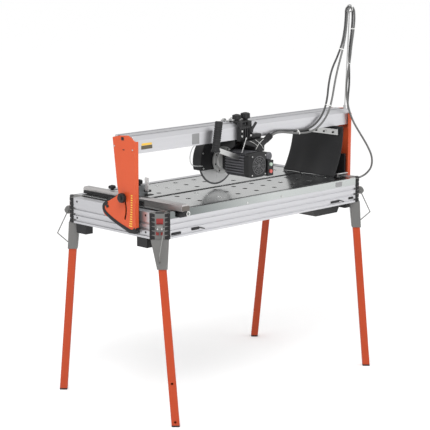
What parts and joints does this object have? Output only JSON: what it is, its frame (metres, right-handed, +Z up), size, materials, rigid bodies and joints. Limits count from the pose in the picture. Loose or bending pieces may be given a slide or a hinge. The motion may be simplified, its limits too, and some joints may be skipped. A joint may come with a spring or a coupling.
{
  "type": "bridge tile cutter",
  "caption": "Wet bridge saw for tiles: a tilting beam carries a sliding motor head with a guarded blade over a slotted, perforated table on plug-in legs.",
  "frame": {"origin": "on the floor, under the middle of the table frame", "axes": "+X along the cut towards the splash curtain and hose mast, +Y towards the back of the table, +Z up"},
  "size_m": [1.2838, 0.673, 1.478],
  "materials": {
    "anodised": "satin anodised extrusion",
    "polished_band": "bright rolled steel",
    "cast_grey": "grey powder coat",
    "black_plastic": "moulded",
    "bright_steel": "zinc plated",
    "galvanised": "galvanised sheet",
    "tray_plastic": "moulded tub",
    "black_paint": "satin black paint",
    "orange_paint": "orange powder coat",
    "leg_red": "orange-red powder coat",
    "guard_black": "moulded black",
    "motor_black": "satin black",
    "blade_steel": "ground steel with a sintered rim",
    "black_rubber": "matt",
    "green_plastic": "gloss",
    "red_plastic": "gloss"
  },
  "bodies": {
    "frame": {"front_rail": "anodised", "back_rail": "anodised", "left_end_rail": "anodised", "right_end_rail": "anodised", "corner_castings": "cast_grey", "rail_end_caps": "black_plastic", "frame_screws": "bright_steel", "side_band": "polished_band", "frame_blocks": "black_plastic", "front_table_panel": "galvanised", "back_table_panel": "galvanised", "table_crossbars": "galvanised", "water_tray": "tray_plastic", "water_pump": "black_plastic", "left_support_plate": "black_paint", "right_support_plate": "black_paint", "fence_bar": "anodised", "hose_fitting": "black_plastic"},
    "bridge": {"bridge_beam": "anodised", "left_bracket": "orange_paint", "right_bracket": "orange_paint", "splash_curtain": "black_rubber", "curtain_strip": "bright_steel", "hose_mast": "bright_steel", "power_cable": "black_rubber", "water_hose_upper": "black_rubber", "water_hose_lower": "black_rubber"},
    "carriage": {"carriage_frame": "black_paint", "pivot_housing": "black_plastic", "cable_gland": "black_plastic"},
    "head": {"head_arm": "black_paint", "motor_housing": "motor_black", "fan_cover": "black_plastic", "blade_guard": "guard_black", "handle_bar": "bright_steel", "handle_grip": "black_rubber", "capacitor": "black_plastic", "switch_box": "black_plastic"},
    "spindle": {"motor_rotor": "bright_steel", "blade": "blade_steel", "blade_flanges": "bright_steel"},
    "roller_left": {"roller_axle_left": "bright_steel"},
    "roller_right": {"roller_axle_right": "bright_steel"},
    "saddle_knob_left": {"carriage_knob_left": "black_plastic"},
    "saddle_knob_right": {"carriage_knob_right": "black_plastic"},
    "start_key": {"start_button": "green_plastic"},
    "stop_key": {"stop_button": "red_plastic"},
    "tilt_knob_left": {"left_tilt_knob": "black_plastic"},
    "tilt_knob_right": {"right_tilt_knob": "black_plastic"},
    "stop": {"fence_stop": "anodised"},
    "stop_screw": {"stop_knob": "black_plastic"},
    "fence_screw": {"fence_knob": "black_plastic"},
    "leg_front_left": {"leg_front_left": "leg_red"},
    "latch_front_left": {"latch_front_left": "bright_steel"},
    "leg_front_right": {"leg_front_right": "leg_red"},
    "latch_front_right": {"latch_front_right": "bright_steel"},
    "leg_back_left": {"leg_back_left": "leg_red"},
    "latch_back_left": {"latch_back_left": "bright_steel"},
    "leg_back_right": {"leg_back_right": "leg_red"},
    "latch_back_right": {"latch_back_right": "bright_steel"}
  },
  "joints": [
    {"name": "bridge_tilt", "type": "hinge", "parent": "frame", "child": "bridge", "pos_m": [0, -0.017, 0.783], "axis": [-1, 0, 0], "range_deg": [0, 45], "deforming": ["splash_curtain", "water_hose_lower"]},
    {"name": "carriage_slide", "type": "slide", "parent": "bridge", "child": "carriage", "axis": [1, 0, 0], "range_m": [-0.28, 0.32], "deforming": ["power_cable", "water_hose_upper"]},
    {"name": "roller_left_spin", "type": "hinge", "parent": "carriage", "child": "roller_left", "pos_m": [-0.058, -0.104, 1.0542], "axis": [0, 1, 0], "range_deg": [-1900, 2150]},
    {"name": "roller_right_spin", "type": "hinge", "parent": "carriage", "child": "roller_right", "pos_m": [-0.014, -0.104, 1.0542], "axis": [0, 1, 0], "range_deg": [-1900, 2150]},
    {"name": "saddle_knob_left_turn", "type": "hinge", "parent": "carriage", "child": "saddle_knob_left", "pos_m": [-0.06, -0.148, 1.08], "axis": [0, 0, 1], "continuous": true},
    {"name": "saddle_knob_right_turn", "type": "hinge", "parent": "carriage", "child": "saddle_knob_right", "pos_m": [-0.012, -0.148, 1.08], "axis": [0, 0, 1], "continuous": true},
    {"name": "head_plunge", "type": "hinge", "parent": "carriage", "child": "head", "pos_m": [0.03, -0.107, 0.962], "axis": [0, -1, 0], "range_deg": [-8, 18]},
    {"name": "blade_spin", "type": "hinge", "parent": "head", "child": "spindle", "pos_m": [-0.036, -0.017, 0.896], "axis": [0, 1, 0], "continuous": true},
    {"name": "start_press", "type": "slide", "parent": "head", "child": "start_key", "axis": [0, 1, 0], "range_m": [0, 0.003], "stiffness_N_per_m": 300, "springref_m": -0.002},
    {"name": "stop_press", "type": "slide", "parent": "head", "child": "stop_key", "axis": [0, 1, 0], "range_m": [0, 0.003], "stiffness_N_per_m": 300, "springref_m": -0.002},
    {"name": "tilt_knob_left_turn", "type": "hinge", "parent": "frame", "child": "tilt_knob_left", "pos_m": [-0.59, -0.10726, 0.82605], "axis": [1, 0, 0], "continuous": true},
    {"name": "tilt_knob_right_turn", "type": "hinge", "parent": "frame", "child": "tilt_knob_right", "pos_m": [0.59, -0.10726, 0.82605], "axis": [1, 0, 0], "continuous": true},
    {"name": "fence_stop_slide", "type": "slide", "parent": "frame", "child": "stop", "axis": [0, 1, 0], "range_m": [-0.2, 0.09]},
    {"name": "stop_knob_turn", "type": "hinge", "parent": "stop", "child": "stop_screw", "pos_m": [-0.481, -0.052, 0.85], "axis": [0, 0, 1], "continuous": true},
    {"name": "fence_knob_turn", "type": "hinge", "parent": "frame", "child": "fence_screw", "pos_m": [-0.481, 0.095, 0.82], "axis": [0, 0, 1], "continuous": true},
    {"name": "leg_front_left_slide", "type": "slide", "parent": "frame", "child": "leg_front_left", "axis": [0, -0.1171, -0.9931], "range_m": [0, 0.09]},
    {"name": "latch_front_left_swing", "type": "hinge", "parent": "frame", "child": "latch_front_left", "pos_m": [-0.56476, -0.25276, 0.728], "axis": [-0.7071, 0.7071, 0], "range_deg": [0, 70]},
    {"name": "leg_front_right_slide", "type": "slide", "parent": "frame", "child": "leg_front_right", "axis": [0, -0.1171, -0.9931], "range_m": [0, 0.09]},
    {"name": "latch_front_right_swing", "type": "hinge", "parent": "frame", "child": "latch_front_right", "pos_m": [0.56476, -0.25276, 0.728], "axis": [-0.7071, -0.7071, 0], "range_deg": [0, 70]},
    {"name": "leg_back_left_slide", "type": "slide", "parent": "frame", "child": "leg_back_left", "axis": [0, 0.1171, -0.9931], "range_m": [0, 0.09]},
    {"name": "latch_back_left_swing", "type": "hinge", "parent": "frame", "child": "latch_back_left", "pos_m": [-0.56476, 0.25276, 0.728], "axis": [0.7071, 0.7071, 0], "range_deg": [0, 70]},
    {"name": "leg_back_right_slide", "type": "slide", "parent": "frame", "child": "leg_back_right", "axis": [0, 0.1171, -0.9931], "range_m": [0, 0.09]},
    {"name": "latch_back_right_swing", "type": "hinge", "parent": "frame", "child": "latch_back_right", "pos_m": [0.56476, 0.25276, 0.728], "axis": [0.7071, -0.7071, 0], "range_deg": [0, 70]}
  ],
  "couplings": [
    {"joint": "roller_left_spin", "follows": "carriage_slide", "rad_per_m": 111.11},
    {"joint": "roller_right_spin", "follows": "carriage_slide", "rad_per_m": 111.11}
  ]
}
